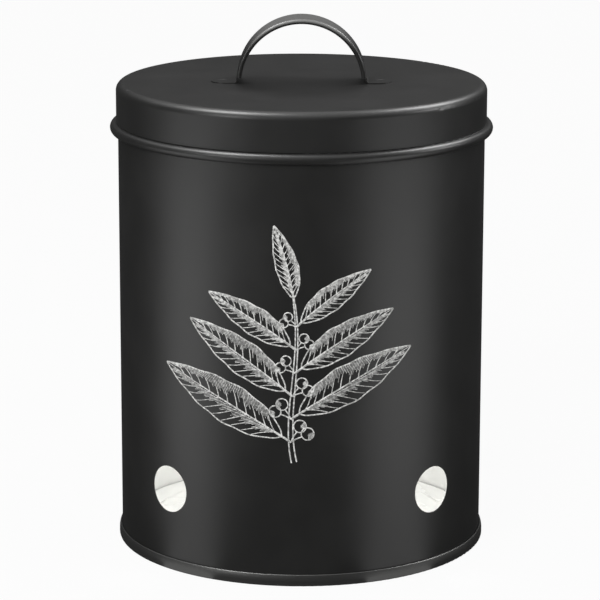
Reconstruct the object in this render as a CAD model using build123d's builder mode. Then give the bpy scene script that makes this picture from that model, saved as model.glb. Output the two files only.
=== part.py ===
"""Onion storage box: a sheet-steel drum with air vents and a seamed base, and a lid with a strap handle.

The frame is the drum's own: Z is its axis, z = 0 is the table that it stands on, and the printed
front faces -Y. The handle runs along X. All sizes are in millimetres.
"""

import math
import os

from build123d import *

# Drum
body_radius = 85.0
body_sheet = 0.4
neck_rise = 18.5
lip_curl_radius = 1.2
lip_curl_sweep = 245.0

# Stop bead that the lid rests on, swaged out of the drum's wall
bead_height = 195.9
bead_tube_radius = 2.5
bead_centre_out = 1.2
bead_fillet = 0.8

# Air vents, one between each two quarter points
vent_diameter = 21.6
vent_height = 38.0
vent_count = 4
vent_first_angle = 45.0

# Lap of the drum's side seam, at the back
lap_width = 5.0
lap_proud = 0.3
lap_end_gap = 2.5

# Base, joined to the drum by a double seam
base_sheet = 0.4
base_recess = 5.0
base_shoulder_radius = 1.2
panel_radius = 70.0
panel_rise = 0.8
panel_slope = 2.0
panel_bend_radius = 1.5
seam_height = 5.4
seam_foot_radius = 0.8
seam_play = 0.03
seam_fullness = 0.1
seam_lean = 20.0
seam_face_radius = 7.5
seam_crest_bend = 0.45
hook_length = 3.0
hook_end_gap = 0.3

# Lid
lid_sheet = 0.4
lid_clearance = 0.4
lid_seat_gap = 0.3
lid_headroom = 1.7
lid_shoulder_radius = 3.5

# Strap handle, a half circle with rolled edges and two flat feet
handle_reach = 30.0
handle_width = 20.0
handle_sheet = 0.5
handle_roll_radius = 1.15
handle_roll_sweep = 265.0
handle_roll_stop = 3.0
foot_bend_radius = 1.2
foot_length = 10.5
foot_corner_radius = 7.0

# Spot welds that hold the handle's feet
weld_diameter = 3.6
weld_dish_diameter = 4.6
weld_dish_depth = 0.3


def vent_plane(index):
    """The plane across one vent, on the drum's axis and facing out."""
    angle = math.radians(vent_first_angle + index * 360 / vent_count)
    return Plane(
        origin=(0, 0, vent_height),
        x_dir=(-math.sin(angle), math.cos(angle), 0),
        z_dir=(math.cos(angle), math.sin(angle), 0),
    )


# The bead's arc and the fillets that lead into it from the wall
bead_centre_radius = body_radius + bead_centre_out
fillet_centre_radius = body_radius + bead_fillet
fillet_offset = fillet_centre_radius - bead_centre_radius
bead_half_span = math.sqrt((bead_tube_radius + bead_fillet) ** 2 - fillet_offset**2)
bead_turn = math.degrees(math.atan2(bead_half_span, fillet_offset))

# Radii across the double seam, from the inside out
body_inner_radius = body_radius - body_sheet
chuck_radius = body_inner_radius - seam_play - base_sheet
base_hook_radius = body_radius + seam_play
body_hook_radius = base_hook_radius + base_sheet + seam_play
seam_radius = body_hook_radius + body_sheet + seam_play + base_sheet + seam_fullness
seam_crest_lead = seam_crest_bend * math.tan(math.radians(90 - seam_lean) / 2)
seam_crest_radius = base_hook_radius + 1.05 * seam_crest_bend + seam_crest_lead

# Heights in the double seam
hook_floor = base_sheet + seam_play + body_sheet
body_hook_top = hook_floor + hook_length - body_sheet
base_hook_bottom = hook_floor + hook_end_gap
seam_shoulder = seam_height - (seam_radius - seam_crest_radius) / math.tan(math.radians(seam_lean))

# The neck's rim, and the lid's own places
neck_top = bead_height + neck_rise
lid_radius = body_radius + lid_clearance + lid_sheet
lid_skirt_bottom = bead_height + bead_tube_radius + lid_seat_gap
lid_top = neck_top + lid_headroom + lid_sheet

# The bend from the handle's arch to its foot, and the foot's places
bend_drop = handle_sheet + foot_bend_radius
bend_centre_x = math.sqrt((handle_reach + foot_bend_radius) ** 2 - bend_drop**2)
bend_angle = math.degrees(math.asin(bend_drop / (handle_reach + foot_bend_radius)))
roll_stop_angle = math.degrees(math.asin(handle_roll_stop / handle_reach))
foot_end = bend_centre_x + foot_length
weld_x = bend_centre_x + foot_length / 2
strap_width = handle_width - 2 * handle_roll_radius
weld_dish_radius = (weld_dish_diameter**2 / 4 + weld_dish_depth**2) / (2 * weld_dish_depth)
weld_dish_centre = lid_top + handle_sheet + weld_dish_radius - weld_dish_depth
weld_places = [(-weld_x, 0), (weld_x, 0)]


with BuildPart() as body_shell:
    # One sheet from top to bottom: curled lip, neck, stop bead, wall and the hook of the seam
    with BuildSketch(Plane.XZ):
        with BuildLine():
            lip_centre = (body_radius - lip_curl_radius, neck_top - lip_curl_radius)
            lip = CenterArc(lip_centre, lip_curl_radius, lip_curl_sweep, -lip_curl_sweep)
            upper_fillet = (fillet_centre_radius, bead_height + bead_half_span)
            Line(lip @ 1, (body_radius, bead_height + bead_half_span))
            CenterArc(upper_fillet, bead_fillet, 180, bead_turn)
            CenterArc((bead_centre_radius, bead_height), bead_tube_radius, bead_turn, -2 * bead_turn)
            lower_fillet = (fillet_centre_radius, bead_height - bead_half_span)
            under_bead = CenterArc(lower_fillet, bead_fillet, 180 - bead_turn, bead_turn)
            FilletPolyline(
                under_bead @ 1,
                (body_radius, hook_floor),
                (body_hook_radius, hook_floor),
                (body_hook_radius, body_hook_top),
                radius=0.45 * (body_hook_radius - body_radius),
            )
            offset(amount=body_sheet, side=Side.RIGHT)
        make_face()
    revolve(axis=Axis.Z)

    # Lap of the side seam, from above the bottom seam to below the bead
    lap_bottom = seam_height + lap_end_gap
    lap_top = bead_height - bead_half_span - lap_end_gap
    with BuildSketch(Plane.XY.offset(lap_bottom)):
        Circle(body_radius + lap_proud)
        Circle(body_radius - body_sheet / 2, mode=Mode.SUBTRACT)
        with Locations((0, body_radius)):
            Rectangle(lap_width, 4 * body_sheet, mode=Mode.INTERSECT)
    extrude(amount=lap_top - lap_bottom)

    # Air vents, punched from the axis outwards
    with BuildSketch(*[vent_plane(index) for index in range(vent_count)]):
        Circle(vent_diameter / 2)
    extrude(amount=2 * body_radius, mode=Mode.SUBTRACT)
body_shell.part.label = "body_shell"


with BuildPart() as base_plate:
    # Raised panel, recess, and the curl that wraps the drum's hook from inside to outside
    with BuildSketch(Plane.XZ):
        with BuildLine():
            FilletPolyline(
                (0, base_recess + panel_rise),
                (panel_radius, base_recess + panel_rise),
                (panel_radius + panel_slope, base_recess),
                (chuck_radius, base_recess),
                (chuck_radius, 0),
                (seam_radius, 0),
                (seam_radius, seam_shoulder),
                (seam_crest_radius, seam_height),
                (base_hook_radius, seam_height),
                (base_hook_radius, base_hook_bottom),
                radius=[
                    panel_bend_radius,
                    panel_bend_radius,
                    base_shoulder_radius,
                    seam_foot_radius,
                    seam_foot_radius,
                    seam_face_radius,
                    seam_crest_bend,
                    seam_crest_bend,
                ],
            )
            offset(amount=base_sheet, side=Side.LEFT)
        make_face()
    revolve(axis=Axis.Z)
base_plate.part.label = "base_plate"


with BuildPart() as lid_cap:
    # Flat top and skirt, drawn from one sheet
    with BuildSketch(Plane.XZ):
        with BuildLine():
            FilletPolyline(
                (0, lid_top),
                (lid_radius, lid_top),
                (lid_radius, lid_skirt_bottom),
                radius=lid_shoulder_radius,
            )
            offset(amount=lid_sheet, side=Side.RIGHT)
        make_face()
    revolve(axis=Axis.Z)

    # Seats of the two spot welds
    with BuildSketch(Plane.XY.offset(lid_top)):
        with Locations(*weld_places):
            Circle(weld_diameter / 2)
    extrude(amount=-lid_sheet, mode=Mode.SUBTRACT)
lid_cap.part.label = "lid_cap"


with BuildPart() as weld_dishes:
    # What the electrode presses out of each foot, used as a cutter and not kept
    with Locations(*[(x, y, weld_dish_centre) for x, y in weld_places]):
        Sphere(weld_dish_radius)
    split(bisect_by=Plane.XY.offset(lid_top + handle_sheet), keep=Keep.BOTTOM)


# Plane across the strap where its rolled edges stop, seen along the arch
roll_start = Plane(
    origin=(0, 0, lid_top),
    x_dir=(0, 1, 0),
    z_dir=(math.sin(math.radians(roll_stop_angle)), 0, -math.cos(math.radians(roll_stop_angle))),
)
arch_axis = Axis((0, 0, lid_top), (0, -1, 0))

with BuildPart() as handle_strap:
    # Arch: the strap's section, rolled under along both edges, turned over the lid
    with BuildSketch(roll_start):
        with BuildLine():
            roll_height = handle_reach - handle_roll_radius
            far_edge = (strap_width / 2, roll_height)
            far_roll = CenterArc(far_edge, handle_roll_radius, 90 - handle_roll_sweep, handle_roll_sweep)
            Line(far_roll @ 1, (-strap_width / 2, handle_reach))
            CenterArc((-strap_width / 2, roll_height), handle_roll_radius, 90, handle_roll_sweep)
            offset(amount=handle_sheet, side=Side.LEFT)
        make_face()
    revolve(axis=arch_axis, revolution_arc=180 - 2 * roll_stop_angle)

    # Feet: the strap runs on below the rolls, bends out and lies flat on the lid
    with BuildSketch(Plane.XZ):
        with BuildLine():
            CenterArc((0, lid_top), handle_reach, roll_stop_angle, bend_angle - roll_stop_angle)
            bend_centre = (bend_centre_x, lid_top + bend_drop)
            bend = CenterArc(bend_centre, foot_bend_radius, 180 + bend_angle, 90 - bend_angle)
            Line(bend @ 1, (foot_end, lid_top + handle_sheet))
            offset(amount=handle_sheet, side=Side.RIGHT)
        make_face()
        mirror(about=Plane.YZ)
    extrude(amount=strap_width / 2, both=True)
    foot_ends = handle_strap.edges().filter_by(Axis.Z).group_by(Axis.X)
    fillet(foot_ends[0] + foot_ends[-1], foot_corner_radius)

    # Seats and dishes of the two spot welds
    with BuildSketch(Plane.XY.offset(lid_top)):
        with Locations(*weld_places):
            Circle(weld_diameter / 2)
    extrude(amount=handle_sheet, mode=Mode.SUBTRACT)
    add(weld_dishes.part, mode=Mode.SUBTRACT)
handle_strap.part.label = "handle_strap"


with BuildPart() as spot_welds:
    # A nugget through both sheets under each foot, dished on top by the electrode
    with BuildSketch(Plane.XY.offset(lid_top - lid_sheet)):
        with Locations(*weld_places):
            Circle(weld_diameter / 2)
    extrude(amount=lid_sheet + handle_sheet)
    add(weld_dishes.part, mode=Mode.SUBTRACT)
spot_welds.part.label = "spot_welds"


os.makedirs("parts", exist_ok=True)
for piece in (body_shell, base_plate, lid_cap, handle_strap, spot_welds):
    export_step(piece.part, f"parts/{piece.part.label}.step")
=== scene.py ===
import math
import random

import bpy
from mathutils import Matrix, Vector


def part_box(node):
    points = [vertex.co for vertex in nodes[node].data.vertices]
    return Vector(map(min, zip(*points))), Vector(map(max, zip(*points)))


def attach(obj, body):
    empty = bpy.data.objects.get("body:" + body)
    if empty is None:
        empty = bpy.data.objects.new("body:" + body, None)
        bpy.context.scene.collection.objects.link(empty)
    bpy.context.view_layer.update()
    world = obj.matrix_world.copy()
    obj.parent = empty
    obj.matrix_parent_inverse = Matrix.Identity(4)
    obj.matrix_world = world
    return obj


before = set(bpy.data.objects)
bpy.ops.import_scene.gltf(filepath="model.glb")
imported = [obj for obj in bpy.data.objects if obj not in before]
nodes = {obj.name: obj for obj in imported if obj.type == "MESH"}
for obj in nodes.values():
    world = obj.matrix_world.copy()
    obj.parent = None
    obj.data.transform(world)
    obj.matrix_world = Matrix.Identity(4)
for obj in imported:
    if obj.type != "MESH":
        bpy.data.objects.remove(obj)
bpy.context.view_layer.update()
mm = 0.001


class Wire:
    # One output socket of a node tree; sums written with it add their Math nodes to the tree

    def __init__(self, tree, socket=None):
        self.tree = tree
        self.socket = socket

    def node(self, kind, settings=None, sockets=None, output=0):
        # A new node: first what it is set to, then the values or links of its sockets
        made = self.tree.nodes.new(kind)
        for name, value in (settings or {}).items():
            setattr(made, name, value)
        for name, value in (sockets or {}).items():
            if isinstance(value, Wire):
                self.tree.links.new(value.socket, made.inputs[name])
            else:
                made.inputs[name].default_value = value
        return Wire(self.tree, made.outputs[output] if made.outputs else None)

    def math(self, operation, *values):
        return self.node("ShaderNodeMath", {"operation": operation}, dict(enumerate(values)))

    def __add__(self, other):
        return self.math("ADD", self, other)

    def __radd__(self, other):
        return self.math("ADD", other, self)

    def __sub__(self, other):
        return self.math("SUBTRACT", self, other)

    def __rsub__(self, other):
        return self.math("SUBTRACT", other, self)

    def __mul__(self, other):
        return self.math("MULTIPLY", self, other)

    def __rmul__(self, other):
        return self.math("MULTIPLY", other, self)

    def __truediv__(self, other):
        return self.math("DIVIDE", self, other)

    def __mod__(self, other):
        return self.math("MODULO", self, other)

    def __lt__(self, other):
        return self.math("LESS_THAN", self, other)

    def __gt__(self, other):
        return self.math("GREATER_THAN", self, other)

    def sine(self):
        return self.math("SINE", self)

    def cosine(self):
        return self.math("COSINE", self)

    def atLeast(self, low):
        return self.math("MAXIMUM", self, low)

    def above(self, low, high):
        # 0 below low and 1 over high, with a soft step between
        settings = {"interpolation_type": "SMOOTHSTEP"}
        return self.node("ShaderNodeMapRange", settings, {"Value": self, "From Min": low, "From Max": high})

    def other(self, output):
        # Another output of the node that this one comes from
        return Wire(self.tree, self.socket.node.outputs[output])

    def axes(self):
        parts = self.tree.nodes.new("ShaderNodeSeparateXYZ")
        self.tree.links.new(self.socket, parts.inputs[0])
        return [Wire(self.tree, output) for output in parts.outputs]

    def vector(self, x, y, z):
        return self.node("ShaderNodeCombineXYZ", None, {0: x, 1: y, 2: z})


def length(a, b):
    return a.math("SQRT", a * a + b * b)


def noise(place, size, detail):
    return place.node("ShaderNodeTexNoise", None, {"Vector": place, "Scale": 1 / size, "Detail": detail})


def mixColours(factor, first, second):
    # Sockets 6 and 7 of a Mix node are its two colours, and output 2 is the mixed one
    return factor.node("ShaderNodeMix", {"data_type": "RGBA"}, {0: factor, 6: first, 7: second}, 2)


def newMaterial(name):
    material = bpy.data.materials.new(name)
    material.use_nodes = True
    material.node_tree.nodes.clear()
    return material, Wire(material.node_tree)


# The steel's own sizes, which say where the coat outside ends and the enamel inside begins
steel = {
    "wallRadius": 85.0 * mm,
    "sheet": 0.4 * mm,
    "beadTube": 2.5 * mm,
    "seatGap": 0.3 * mm,
    "lidShoulder": 3.5 * mm,
    "panelEdge": 71.0 * mm,
    "panelSlope": 2.0 * mm,
    "panelRise": 0.8 * mm,
    "recess": 5.0 * mm,
}
# Charcoal powder coat, with faint clouds in its colour, orange peel and a fine grain
coat = {
    "charcoal": (0.0128, 0.0128, 0.0124, 1),
    "charcoalPale": (0.0165, 0.0165, 0.0160, 1),
    "roughness": 0.40,
    "roughnessSpread": 0.06,
    "ior": 1.5,
    "cloudSize": 24 * mm,
    "cloudDetail": 3.0,
    "cloudEdges": (0.35, 0.75),
    "peelSize": 0.9 * mm,
    "peelDetail": 2.0,
    "peelDepth": 0.010 * mm,
    "grainSize": 0.22 * mm,
    "grainDetail": 1.0,
    "grainDepth": 0.004 * mm,
}
enamel = {
    "white": (0.82, 0.82, 0.80, 1),
    "roughness": 0.28,
}
# Painted highlight: the outer top of the handle's arch is painted a paler grey for the sheen of a lamp above
# it. Heights here are from the lid's top, and distances from the middle of the handle's arch
gripHighlight = {
    "grey": (0.215, 0.215, 0.211, 1),
    "metal": 0.0,
    "start": 14 * mm,
    "full": 28 * mm,
    "under": 28.2 * mm,
    "over": 29.7 * mm,
}
# Distances here are from the drum's axis, and heights from the table
seamWear = {
    "grey": (0.095, 0.095, 0.093, 1),
    "metal": 0.8,
    "inner": 85.1 * mm,
    "outer": 85.5 * mm,
    "low": 0.2 * mm,
    "high": 0.9 * mm,
}

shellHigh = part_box("body_shell")[1]
lidLow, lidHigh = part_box("lid_cap")
beadRadius = shellHigh.x - steel["beadTube"]
beadHeight = lidLow.z - steel["seatGap"] - steel["beadTube"]
shoulderRadius = lidHigh.x - steel["lidShoulder"]
shoulderHeight = lidHigh.z - steel["lidShoulder"]
midSheet = steel["sheet"] / 2


def insideShell(radius, height):
    # Inner face of the wall, or the hollow back of the stop bead
    wall = radius < steel["wallRadius"] - midSheet
    bead = length(radius - beadRadius, height - beadHeight) < steel["beadTube"] - midSheet
    return wall.atLeast(bead)


def insideBase(radius, height):
    # Top face of the base, which steps up to its raised panel
    halfSlope = steel["panelSlope"] / 2
    panel = (steel["panelEdge"] - radius).above(-halfSlope, halfSlope) * steel["panelRise"]
    top = height - panel > steel["recess"] + midSheet
    return top * (radius < steel["wallRadius"] - midSheet)


def insideLid(radius, height):
    # Under the lid's top and within its skirt, round the shoulder between them
    across = (radius - shoulderRadius).atLeast(0.0)
    up = (height - shoulderHeight).atLeast(0.0)
    return length(across, up) < steel["lidShoulder"] - midSheet


def gripPaintedHighlight(x, y, z):
    # Over the arch of the handle, on its outer side, a paler grey painted on as the highlight of a lamp above
    # it
    rise = z - lidHigh.z
    outer = length(x, rise).above(gripHighlight["under"], gripHighlight["over"])
    return rise.above(gripHighlight["start"], gripHighlight["full"]) * outer


def wornSeam(x, y, z):
    # Round the outside of the bottom seam, where the coat has worn down to dark steel
    outer = length(x, y).above(seamWear["inner"], seamWear["outer"])
    return outer * z.above(seamWear["low"], seamWear["high"])


def steelMaterial(name, inside=None, rubbedAndHighlight=None, rubbedAndHighlightLook=None):
    # inside says where the enamel lies; the next function says where the seam's coat is worn and where the
    # handle carries a painted highlight, and the dictionary after it says what shows there
    material, tree = newMaterial(name)
    place = tree.node("ShaderNodeTexCoord", output="Object")
    clouds = noise(place, coat["cloudSize"], coat["cloudDetail"])
    peel = noise(place, coat["peelSize"], coat["peelDetail"])
    grain = noise(place, coat["grainSize"], coat["grainDetail"])
    colour = mixColours(clouds.above(*coat["cloudEdges"]), coat["charcoal"], coat["charcoalPale"])
    roughness = coat["roughness"] + (clouds - 0.5) * coat["roughnessSpread"]
    metal = 0.0
    if inside:
        x, y, z = place.axes()
        mask = inside(length(x, y), z)
        colour = mixColours(mask, colour, enamel["white"])
        roughness = roughness + mask * (enamel["roughness"] - coat["roughness"])
    # Worn steel at the seam, and the paler grey painted on the handle as a highlight
    if rubbedAndHighlight:
        mask = rubbedAndHighlight(*place.axes())
        colour = mixColours(mask, colour, rubbedAndHighlightLook["grey"])
        metal = mask * rubbedAndHighlightLook["metal"]
    relief = peel * coat["peelDepth"] + grain * coat["grainDepth"]
    surface = tree.node("ShaderNodeBsdfPrincipled", None, {
        "Base Color": colour,
        "Roughness": roughness,
        "Metallic": metal,
        "Normal": tree.node("ShaderNodeBump", None, {"Height": relief, "Distance": 1.0}),
        "IOR": coat["ior"],
    })
    tree.node("ShaderNodeOutputMaterial", None, {"Surface": surface})
    return material


finishes = {
    "body_shell": steelMaterial("charcoalDrum", insideShell),
    "base_plate": steelMaterial("charcoalBase", insideBase, wornSeam, seamWear),
    "lid_cap": steelMaterial("charcoalLid", insideLid),
    # The top of the strap's arch gets a painted highlight in a paler grey
    "handle_strap": steelMaterial("charcoalStrap", None, gripPaintedHighlight, gripHighlight),
    "spot_welds": steelMaterial("charcoalWelds", insideLid),
}
for name, material in finishes.items():
    for slot in nodes[name].material_slots:
        slot.material = material
print("steel finished:", len(finishes), "nodes")


# The print: one branch with big leaves and berries, drawn flat in fine pen lines and laid on the wall.
# Angles are in degrees, and plain shares are of a leaf's length or of the way from its rib to its edge.
branch = {
    "path": [(-3, 58), (-8, 80), (1, 104), (-3, 131)],  # millimetres round the wall and up it
    "pathPoints": 48,
    "line": 0.6 * mm,
    "halfStem": 1.2 * mm,
    "stemTaper": 0.7,
    "first": 0.13,  # share of the stem below the first leaf
    "count": 7,
    "seed": 11,
}
leaf = {
    "length": 60 * mm,
    "halfWidth": 8.2 * mm,
    "droop": 7.0 * mm,
    "stalk": 0.07,
    "ripple": 0.035,
    "rippleRate": 31,
    "widestLean": 0.82,
    "roundness": 0.85,
    "tipEnd": 0.99,
    "marginPoints": 34,
    "margin": 0.62 * mm,
    "rib": (1.04 * mm, 0.32 * mm),
    "veins": 11,
    "firstVein": 0.05,
    "lastVein": 0.86,
    "veinReach": 0.93,
    "vein": 0.48 * mm,
    "hatches": 4,
    "hatch": 0.36 * mm,
    "hatchSteps": 5,
    "hatchForward": 0.13,
    "hatchBend": 0.9,
    "hatchThinning": 0.55,
    "shading": ((-1, 0.98, 0.30, 0.62), (1, 0.06, 0.25, 0.50)),  # side, start, nearest and furthest end
    "angles": (52,),
    "spread": 5,
    "sizes": (1.16, 0.60),  # at the first place on the stem and at the last
    "atTip": True,
}
berry = {
    "stalk": 5.0 * mm,
    "stalkBend": 0.3 * mm,
    "radius": 2.6 * mm,
    "rim": 0.55 * mm,
    "rimSteps": 20,
    "hatch": 0.36 * mm,
    "hatches": 4,
    "hatchSteps": 6,
    "hatchRadii": (0.80, 0.23),
    "hatchTurns": (-1.9, -0.2),  # radians
    "angles": (-34, -68),
    "spread": 6,
    "sizes": (1.1, 0.7),
    "atTip": False,
}
ink = {
    "proud": 0.045 * mm,
    "sunk": 0.02 * mm,
    "liftSpread": 0.02 * mm,
    "white": (0.80, 0.80, 0.78, 1),
    "thin": (0.36, 0.36, 0.35, 1),
    "patchSize": 1.2 * mm,
    "patchDetail": 3.0,
    "patchEdges": (0.38, 0.62),
    "roughness": 0.5,
}
chance = random.Random(branch["seed"])


def between(start, end, steps):
    # Even steps from one value to another, with both of them in the list
    return [start + (end - start) * step / steps for step in range(steps + 1)]


def stroke(points, start, end):
    # One pen line: its points, and its width from one end to the other
    widths = between(start, end, len(points) - 1)
    return [(x, y, width) for (x, y), width in zip(points, widths)]


def leafEdge(place):
    # Half width of the leaf at a share of its length, with a bare stalk and a drawn-out tip
    blade = min(max((place - leaf["stalk"]) / (1 - leaf["stalk"]), 0), 1)
    ripple = 1 + leaf["ripple"] * math.sin(leaf["rippleRate"] * place)
    belly = max(math.sin(math.pi * blade ** leaf["widestLean"]), 0)
    return leaf["halfWidth"] * ripple * belly ** leaf["roundness"]


def leafPoint(place, side, share):
    # A point some share of the way from the rib to the edge, on a leaf that droops
    return leaf["length"] * place, side * share * leafEdge(place) + leaf["droop"] * place**2


def hatchLine(side, root, start, end, width):
    # A vein or a hatch line slants forwards on its way from the rib to the edge
    points = []
    for share in between(start, end, leaf["hatchSteps"]):
        place = min(root + leaf["hatchForward"] * share, leaf["tipEnd"])
        points.append(leafPoint(place, side, share ** leaf["hatchBend"]))
    return stroke(points, width, leaf["hatchThinning"] * width)


def leafStrokes():
    # One half is shaded from its edge inwards, and the other from the rib outwards
    whole = between(0, 1, leaf["marginPoints"])
    blade = between(leaf["stalk"], 1, leaf["marginPoints"])
    strokes = [stroke([leafPoint(place, 0, 0) for place in whole], *leaf["rib"])]
    spacing = (leaf["lastVein"] - leaf["stalk"]) / leaf["veins"]
    for side, start, nearest, furthest in leaf["shading"]:
        margin = [leafPoint(place, side, 1) for place in blade]
        strokes.append(stroke(margin, leaf["margin"], leaf["margin"]))
        for vein in range(leaf["veins"]):
            root = leaf["stalk"] + leaf["firstVein"] + spacing * vein
            strokes.append(hatchLine(side, root, 0, leaf["veinReach"], leaf["vein"]))
            for line in range(1, leaf["hatches"] + 1):
                foot = root + spacing * line / (leaf["hatches"] + 1)
                end = chance.uniform(nearest, furthest)
                strokes.append(hatchLine(side, foot, start, end, leaf["hatch"]))
    return strokes


def berryArc(radius, start, end, steps, width):
    # A line of even width round the middle of the berry, between two turns in radians
    middle = berry["stalk"] + berry["radius"]
    turns = between(start, end, steps)
    points = [(middle + radius * math.cos(turn), radius * math.sin(turn)) for turn in turns]
    return stroke(points, width, width)


def berryStrokes():
    stalk = [(0, 0), (berry["stalk"] / 2, berry["stalkBend"]), (berry["stalk"], 0)]
    strokes = [stroke(stalk, berry["rim"], berry["rim"])]
    strokes.append(berryArc(berry["radius"], math.pi, 3 * math.pi, berry["rimSteps"], berry["rim"]))
    for share in between(*berry["hatchRadii"], berry["hatches"] - 1):
        radius = share * berry["radius"]
        strokes.append(berryArc(radius, *berry["hatchTurns"], berry["hatchSteps"], berry["hatch"]))
    return strokes


def branchStroke():
    # A cubic Bezier up the wall
    corners = [Vector(corner) * mm for corner in branch["path"]]
    points = []
    for near in between(0, 1, branch["pathPoints"]):
        far = 1 - near
        shares = (far**3, 3 * far**2 * near, 3 * far * near**2, near**3)
        points.append(sum((share * corner for share, corner in zip(shares, corners)), Vector((0, 0))))
    return stroke(points, branch["line"], branch["line"])


def drawing(name, strokes):
    # Pen lines as loose edges, whose points keep the line's width and the height of its ink
    spots, edges, widths, lifts = [], [], [], []
    for line in strokes:
        edges += [(len(spots) + step, len(spots) + step + 1) for step in range(len(line) - 1)]
        spots += [(x, y, 0) for x, y, width in line]
        widths += [width for x, y, width in line]
        lifts += [chance.uniform(0, ink["liftSpread"])] * len(line)
    mesh = bpy.data.meshes.new(name)
    mesh.from_pydata(spots, edges, [])
    for title, values in (("lineWidth", widths), ("lift", lifts)):
        mesh.attributes.new(title, "FLOAT", "POINT").data.foreach_set("value", values)
    sheet = bpy.data.objects.new(name, mesh)
    bpy.context.scene.collection.objects.link(sheet)
    return sheet


def inkMaterial():
    # White ink, thinner in small patches, as a screen print is
    material, tree = newMaterial("whiteInk")
    patches = noise(tree.node("ShaderNodeTexCoord", output="Object"), ink["patchSize"], ink["patchDetail"])
    surface = tree.node("ShaderNodeBsdfPrincipled", None, {
        "Base Color": mixColours(patches.above(*ink["patchEdges"]), ink["thin"], ink["white"]),
        "Roughness": ink["roughness"],
    })
    tree.node("ShaderNodeOutputMaterial", None, {"Surface": surface})
    return material


def newGroup(name, sockets):
    group = bpy.data.node_groups.new(name, "GeometryNodeTree")
    group.interface.new_socket(name="Ink", in_out="OUTPUT", socket_type="NodeSocketGeometry")
    for title, kind in sockets.items():
        group.interface.new_socket(name=title, in_out="INPUT", socket_type=kind)
    entry = group.nodes.new("NodeGroupInput")
    return Wire(group), {socket.name: Wire(group, socket) for socket in entry.outputs if socket.name}


def joined(tree, parts):
    join = tree.node("GeometryNodeJoinGeometry")
    for part in parts:
        tree.tree.links.new(part.socket, join.socket.node.inputs[0])
    return join


def stemSide(tree, path, entry, side):
    # One edge of the stem, which narrows towards the tip
    taper = 1 - tree.node("GeometryNodeSplineParameter") * branch["stemTaper"]
    across = tree.node("ShaderNodeVectorMath", {"operation": "CROSS_PRODUCT"}, {
        0: tree.node("GeometryNodeInputTangent"),
        1: (0, 0, 1),
    })
    shift = tree.node("ShaderNodeVectorMath", {"operation": "SCALE"}, {
        "Vector": across,
        "Scale": entry["Half Stem"] * taper * side,
    })
    return tree.node("GeometryNodeSetPosition", None, {0: path, "Offset": shift})


def grown(tree, path, entry, look, title, angle):
    # Copies of one drawing along the branch, on alternate sides; at the tip it is in line with the branch
    # Sockets 2 and 3 of a Trim Curve node are the shares of the curve where it starts and ends
    kept = tree.node("GeometryNodeTrimCurve", None, {0: path, 2: branch["first"], 3: 1.0})
    points = tree.node("GeometryNodeCurveToPoints", None, {0: kept, "Count": entry["Count"]})
    index = tree.node("GeometryNodeInputIndex")
    last = entry["Count"] - 1
    side = 1 - index % 2 * 2
    tip = index > last - 0.5
    # Sockets 2 and 3 of a Random Value node are its plain limits, and output 1 is the plain number
    spread = math.radians(look["spread"])
    wander = tree.node("FunctionNodeRandomValue", None, {2: -spread, 3: spread, "Seed": entry["Seed"]}, 1)
    along, up, out = points.other("Tangent").axes()
    turn = up.math("ARCTAN2", up, along) + (side * math.radians(angle) + wander) * (1 - tip)
    size = tree.node("ShaderNodeMapRange", None, {
        "Value": index,
        "From Max": last,
        "To Min": look["sizes"][0],
        "To Max": look["sizes"][1],
    })
    return tree.node("GeometryNodeInstanceOnPoints", None, {
        0: points,
        "Selection": True if look["atTip"] else 1 - tip,
        "Instance": tree.node("GeometryNodeObjectInfo", None, {"Object": entry[title]}, "Geometry"),
        "Rotation": tree.node("FunctionNodeAxisAngleToRotation", None, {"Axis": (0, 0, 1), "Angle": turn}),
        "Scale": tree.vector(size, size * side, 1.0),
    })


def laidOnWall(tree, lines, entry):
    # Flat bands of ink along the pen lines, bent round the drum: x runs round the wall and y up it
    width = tree.node("GeometryNodeInputNamedAttribute", None, {"Name": "lineWidth"})
    lift = tree.node("GeometryNodeInputNamedAttribute", None, {"Name": "lift"})
    upright = tree.node("GeometryNodeSetCurveNormal", {"mode": "Z_UP"}, {0: lines})
    flat = tree.node("GeometryNodeCurveToMesh", None, {
        0: upright,
        1: tree.node("GeometryNodeCurvePrimitiveQuadrilateral", None, {"Width": 1.0, "Height": 1.0}),
        "Scale": width,
        "Fill Caps": True,
    })
    around, height, side = tree.node("GeometryNodeInputPosition").axes()
    face = (side > 0.0) * (lift + ink["proud"] + ink["sunk"]) - ink["sunk"]
    reach = entry["Wall Radius"] + face
    turn = around / entry["Wall Radius"]
    bent = tree.vector(reach * turn.sine(), reach * turn.cosine() * -1, height)
    return tree.node("GeometryNodeSetPosition", None, {0: flat, "Position": bent})


def branchTree():
    tree, entry = newGroup("inkBranch", {
        "Path": "NodeSocketGeometry",
        "Leaf": "NodeSocketObject",
        "Berry": "NodeSocketObject",
        "Count": "NodeSocketInt",
        "Half Stem": "NodeSocketFloat",
        "Wall Radius": "NodeSocketFloat",
        "Ink": "NodeSocketMaterial",
        "Seed": "NodeSocketInt",
    })
    path = tree.node("GeometryNodeMeshToCurve", None, {0: entry["Path"]})
    copies = []
    for title, look in (("Leaf", leaf), ("Berry", berry)):
        copies += [grown(tree, path, entry, look, title, angle) for angle in look["angles"]]
    drawn = tree.node("GeometryNodeRealizeInstances", None, {0: joined(tree, copies)})
    lines = [stemSide(tree, path, entry, side) for side in (-1, 1)]
    lines.append(tree.node("GeometryNodeMeshToCurve", None, {0: drawn}))
    bands = laidOnWall(tree, joined(tree, lines), entry)
    whole = tree.node("GeometryNodeRealizeInstances", None, {0: bands})
    inked = tree.node("GeometryNodeSetMaterial", None, {0: whole, "Material": entry["Ink"]})
    tree.node("NodeGroupOutput", None, {0: inked})
    return tree.tree


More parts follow.
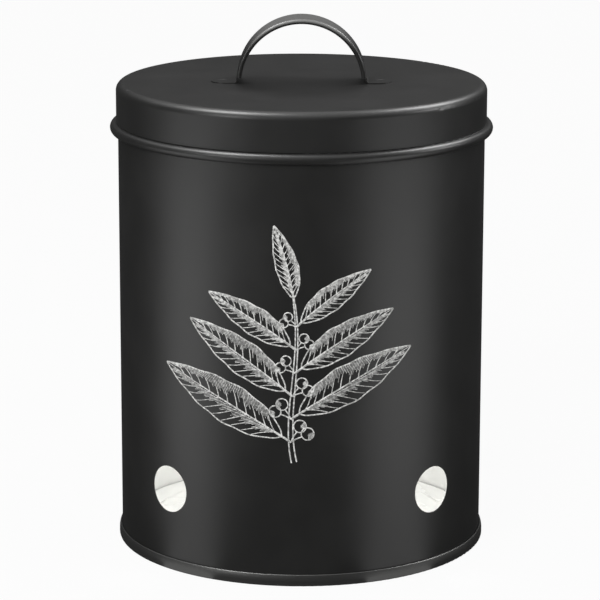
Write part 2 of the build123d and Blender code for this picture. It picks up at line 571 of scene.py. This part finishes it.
def makePrint():
    host = drawing("branchPath", [branchStroke()])
    sheets = {"Leaf": drawing("leafDrawing", leafStrokes()), "Berry": drawing("berryDrawing", berryStrokes())}
    values = {
        **sheets,
        "Count": branch["count"],
        "Half Stem": branch["halfStem"],
        "Wall Radius": steel["wallRadius"],
        "Ink": inkMaterial(),
        "Seed": branch["seed"],
    }
    modifier = host.modifiers.new("inkBranch", "NODES")
    modifier.node_group = branchTree()
    for item in modifier.node_group.interface.items_tree:
        if item.name in values:
            modifier[item.identifier] = values[item.name]
    drawn = host.evaluated_get(bpy.context.evaluated_depsgraph_get())
    mesh = bpy.data.meshes.new_from_object(drawn)
    mesh.name = "printBranch"
    for sheet in (host, *sheets.values()):
        bpy.data.objects.remove(sheet)
    piece = bpy.data.objects.new("printBranch", mesh)
    bpy.context.scene.collection.objects.link(piece)
    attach(piece, "canister")
    return piece


print("print laid on the wall:", len(makePrint().data.polygons), "faces")


# The studio: a pale floor and room, and dark cloth, two cards and four softboxes that only the gloss shows
studio = {
    "floorWhite": (0.84, 0.84, 0.84, 1),
    "floorGrey": (0.30, 0.30, 0.30, 1),
    "floorGlow": 0.94,
    "ambient": (0.50, 0.50, 0.50, 1),
    "floorSize": 7.0,
}
drape = {
    "radius": 2.0,
    "height": 1.6,
    "wallGrey": 0.050,
    "floorGrey": 0.04,
    "lift": 0.3 * mm,
    "sides": 48,
}
# Each card fills what the wall mirrors between two angles from the front, and glows more further out
cards = {
    "left": {"edges": (27, 46), "side": -1, "nearGlow": 0.8, "farGlow": 4.1},
    "right": {"edges": (20, 43), "side": 1, "nearGlow": 0.8, "farGlow": 3.6},
}
cardEnds = {
    "softAngle": 14,
    "fullReach": 0.84,
    "endReach": 0.96,
}
softboxes = {
    "topLeft": {"place": (-0.458, -0.105, 1.139), "aim": (0, 0, 0.2), "size": (0.36, 0.4), "watts": 13},
    "topRight": {"place": (0.62, 0.34, 0.95), "aim": (0, 0, 0.2), "size": (0.38, 0.4), "watts": 9},
    "lowLeft": {"place": (-0.770, -0.780, 0.500), "aim": (0, 0, 0), "size": (0.35, 0.25), "watts": 3.2},
    "lowRight": {"place": (1.090, 0.010, 0.530), "aim": (0, 0, 0), "size": (0.35, 0.25), "watts": 4.0},
}
keyLight = {"place": (-0.6, -1.7, 0.9), "aim": (0, 0, 0.12), "size": (1.4, 1.2), "watts": 27}
innerLamp = {"place": (0, 0, 0.150), "aim": (0, 0, 0), "size": (0.10, 0.10), "watts": 0.145}
lens = {
    "distance": 1.3712,
    "height": 0.4414,
    "pitch": 13.494,
    "roll": 0.123,
    "sensor": 36,
    "focalLength": 179.89,
    "shift": -1.1 / 600,
    "clip": (0.05, 50),
}


def cameraRays(tree):
    # 1 for rays straight from the camera
    return tree.node("ShaderNodeLightPath", output="Is Camera Ray")


def viewRays(tree):
    # 1 for rays straight from the camera, mirrored or through glass, which all show the background
    camera = cameraRays(tree)
    return camera.atLeast(camera.other("Is Glossy Ray")).atLeast(camera.other("Is Transmission Ray"))


def makeFloor():
    # White to the camera but for the shadow, and grey to all else, so that it doesn't light the steel
    material, tree = newMaterial("paleFloor")
    seen = cameraRays(tree)
    shade = mixColours(seen, studio["floorGrey"], studio["floorWhite"])
    matte = tree.node("ShaderNodeBsdfDiffuse", None, {"Color": shade})
    glow = tree.node("ShaderNodeEmission", None, {"Color": (1, 1, 1, 1), "Strength": 1.0})
    blend = tree.node("ShaderNodeMixShader", None, {0: seen * studio["floorGlow"], 1: matte, 2: glow})
    tree.node("ShaderNodeOutputMaterial", None, {"Surface": blend})
    half = studio["floorSize"] / 2
    corners = [(-half, -half, 0), (half, -half, 0), (half, half, 0), (-half, half, 0)]
    mesh = bpy.data.meshes.new("floor")
    mesh.from_pydata(corners, [], [(0, 1, 2, 3)])
    mesh.materials.append(material)
    floor = bpy.data.objects.new("floor", mesh)
    bpy.context.scene.collection.objects.link(floor)


def mirroredLine(x, y, angle):
    # The line on the table that the wall mirrors at one angle from the front: how far a point is from
    # where the line leaves the wall, and the sine of its turn past the line, away from the front
    wall, heading = math.radians(angle), math.radians(2 * angle)
    across = x - steel["wallRadius"] * math.sin(wall)
    along = y + steel["wallRadius"] * math.cos(wall)
    reach = length(across, along)
    return reach, (across * math.cos(heading) + along * math.sin(heading)) / reach


def cardGlow(tree, card):
    # A card on the table fans out over just what the drum's wall mirrors between two lines
    x, y, z = tree.node("ShaderNodeTexCoord", output="Object").axes()
    outward = x * card["side"]
    soft = math.sin(math.radians(cardEnds["softAngle"]))
    pastInner = mirroredLine(outward, y, card["edges"][0])[1]
    reach, pastOuter = mirroredLine(outward, y, card["edges"][1])
    fan = pastInner.above(-soft, soft) * (1 - pastOuter.above(-soft, soft))
    glow = card["nearGlow"] + reach / cardEnds["endReach"] * (card["farGlow"] - card["nearGlow"])
    return fan * glow * (1 - reach.above(cardEnds["fullReach"], cardEnds["endReach"]))


def clothMaterial(name, glow, lying=()):
    # Dark cloth of an even grey, brighter where cards are lying on it
    material, tree = newMaterial(name)
    for card in lying:
        glow = cardGlow(tree, card) + glow
    cloth = tree.node("ShaderNodeEmission", None, {"Color": (1, 1, 1, 1), "Strength": glow})
    tree.node("ShaderNodeOutputMaterial", None, {"Surface": cloth})
    return material


def makeDrape():
    # Dark cloth round the set and on the table, which only the gloss of the coat sees, keeps the steel dark
    low, high, radius, sides = drape["lift"], drape["height"], drape["radius"], drape["sides"]
    turns = [2 * math.pi * side / sides for side in range(sides)]
    ring = [(radius * math.cos(turn), radius * math.sin(turn)) for turn in turns]
    corners = [(x, y, low) for x, y in ring] + [(x, y, high) for x, y in ring]
    table = tuple(range(sides))
    walls = [(side, (side + 1) % sides, (side + 1) % sides + sides, side + sides) for side in range(sides)]
    mesh = bpy.data.meshes.new("darkDrape")
    mesh.from_pydata(corners, [], [table] + walls)
    mesh.materials.append(clothMaterial("darkTable", drape["floorGrey"], cards.values()))
    mesh.materials.append(clothMaterial("darkWall", drape["wallGrey"]))
    mesh.polygons.foreach_set("material_index", [0] + [1] * sides)
    cloth = bpy.data.objects.new("darkDrape", mesh)
    cloth.visible_camera = False
    cloth.visible_diffuse = False
    cloth.visible_shadow = False
    cloth.visible_transmission = False
    bpy.context.scene.collection.objects.link(cloth)


def makeWorld():
    world = bpy.data.worlds.new("paleRoom")
    world.use_nodes = True
    world.node_tree.nodes.clear()
    bpy.context.scene.world = world
    tree = Wire(world.node_tree)
    colour = mixColours(viewRays(tree), studio["ambient"], (1, 1, 1, 1))
    room = tree.node("ShaderNodeBackground", None, {"Color": colour, "Strength": 1.0})
    tree.node("ShaderNodeOutputWorld", None, {"Surface": room})


def makeLamp(name, shape, look, inGloss):
    # A lamp either shows in the gloss or lights the plain colours, and the camera doesn't see it
    light = bpy.data.lights.new(name, "AREA")
    light.shape = shape
    light.size, light.size_y = look["size"]
    light.energy = look["watts"]
    lamp = bpy.data.objects.new(name, light)
    lamp.location = look["place"]
    lamp.rotation_euler = (Vector(look["aim"]) - lamp.location).to_track_quat("-Z", "Y").to_euler()
    lamp.visible_camera = False
    lamp.visible_glossy = inGloss
    lamp.visible_diffuse = not inGloss
    bpy.context.scene.collection.objects.link(lamp)


def makeCamera():
    camera = bpy.data.cameras.new("viewCamera")
    camera.sensor_fit = "HORIZONTAL"
    camera.sensor_width = lens["sensor"]
    camera.lens = lens["focalLength"]
    camera.shift_x = lens["shift"]
    camera.clip_start, camera.clip_end = lens["clip"]
    viewer = bpy.data.objects.new("viewCamera", camera)
    viewer.location = (0, -lens["distance"], lens["height"])
    viewer.rotation_mode = "ZYX"
    viewer.rotation_euler = (math.radians(90 - lens["pitch"]), 0, math.radians(lens["roll"]))
    bpy.context.scene.collection.objects.link(viewer)
    bpy.context.scene.camera = viewer


makeFloor()
makeDrape()
makeWorld()
for name, look in softboxes.items():
    makeLamp(name, "RECTANGLE", look, True)
makeLamp("keyLight", "RECTANGLE", keyLight, False)
makeLamp("innerLamp", "DISK", innerLamp, False)  # Faces the base, so that the vents show the white inside
makeCamera()
bpy.context.scene.view_settings.view_transform = "Standard"
print("studio set:", len(softboxes), "softboxes")
